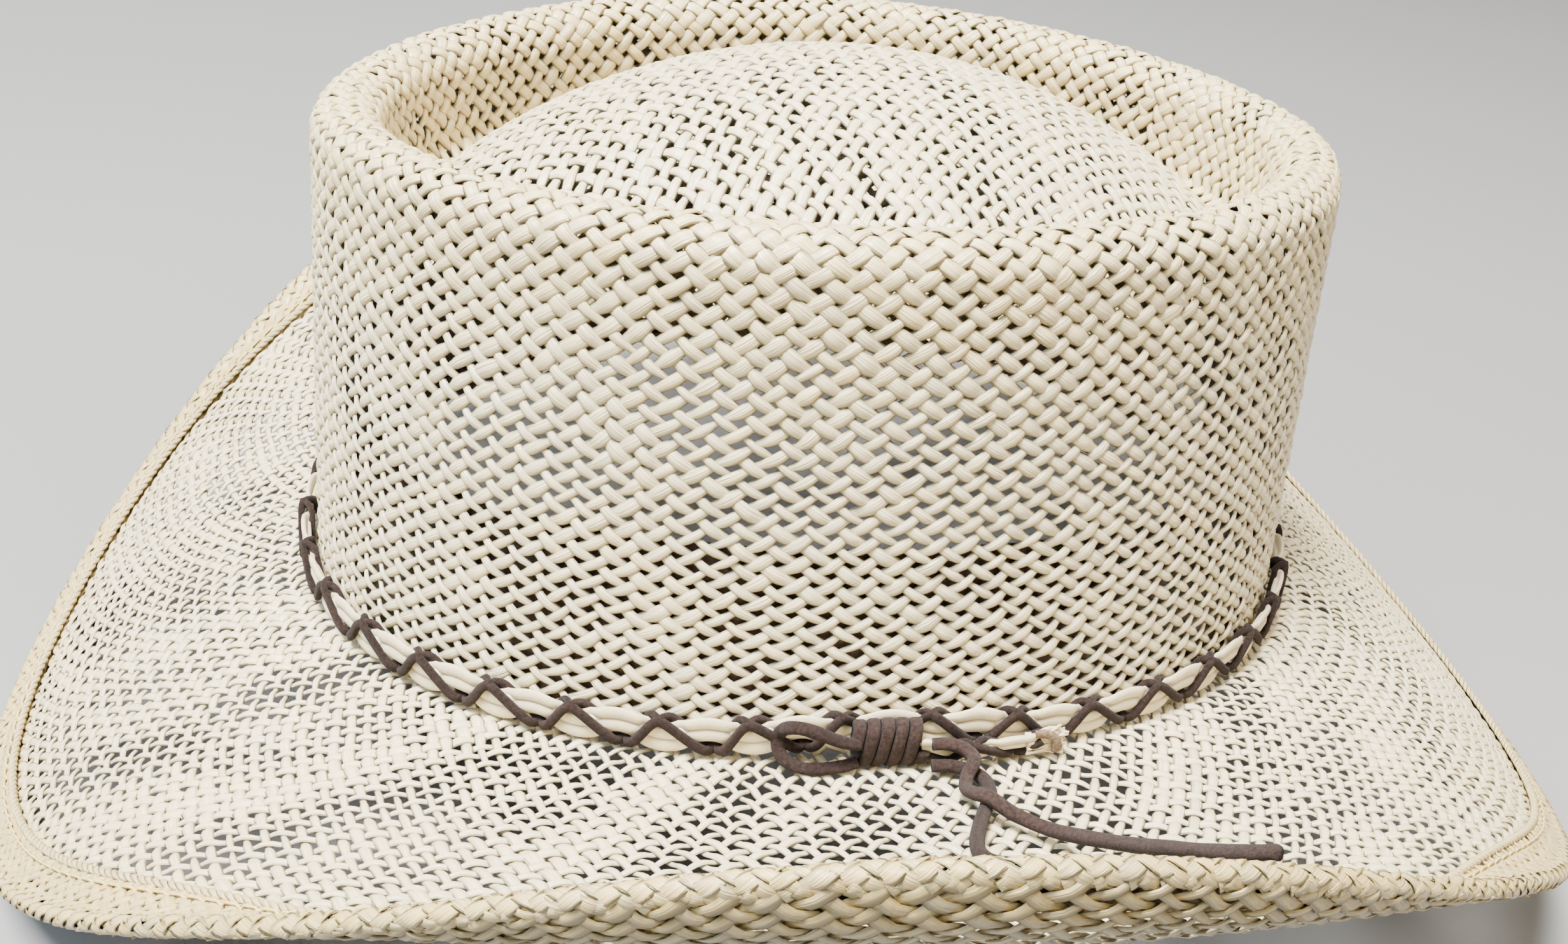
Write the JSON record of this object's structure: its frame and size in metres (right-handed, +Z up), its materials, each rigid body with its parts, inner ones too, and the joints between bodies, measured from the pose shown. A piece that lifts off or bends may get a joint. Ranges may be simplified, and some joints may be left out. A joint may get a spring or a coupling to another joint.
{
  "type": "cowboy hat",
  "caption": "Open-weave straw western hat with a telescope crown, upswept wire-edged brim, inner sweatband and a plaited leather hatband tied at one side.",
  "frame": {"origin": "on the surface the hat stands on, under the middle of the crown", "axes": "+Z up, +X towards the back of the hat, +Y towards the wearer's right, so the knot of the hatband is at -Y"},
  "size_m": [0.345, 0.3136, 0.1501],
  "materials": {
    "straw": "glossy bleached palm straw, open plain weave",
    "hem_straw": "glossy palm straw, close weave, slightly yellowed",
    "edge_wire": "drawn steel wire",
    "hem_thread": "straw-coloured sewing thread",
    "sweat_leather": "dark brown smooth leather, satin",
    "reed": "dark cloth-covered reed",
    "dark_thread": "dark brown sewing thread",
    "ribbon": "dark satin ribbon",
    "label": "blank woven label",
    "cream_leather": "cream leather, soft satin, creased down the middle",
    "brown_suede": "dark brown suede lace, fuzzy"
  },
  "bodies": {
    "hat": {"crown": "straw", "brim": "straw", "brim_hem_fold": "hem_straw", "brim_wire": "edge_wire", "hem_ridge_cord": "hem_straw", "hem_thread": "hem_thread", "sweatband": "sweat_leather", "sweatband_reed": "reed", "sweatband_thread": "dark_thread", "sweatband_bow": "ribbon", "size_tab": "label"},
    "hatband": {"cream_strap_lower": "cream_leather", "brown_lace": "brown_suede", "cream_strap_upper": "cream_leather", "wrap_coil": "brown_suede", "lace_loop": "brown_suede", "band_overlap_end": "cream_leather", "frayed_end": "cream_leather", "long_tail": "brown_suede", "short_tail": "brown_suede"}
  },
  "joints": [
    {"name": "hatband_lift", "type": "slide", "parent": "hat", "child": "hatband", "axis": [0, 0, 1], "range_m": [0, 0.125]}
  ]
}
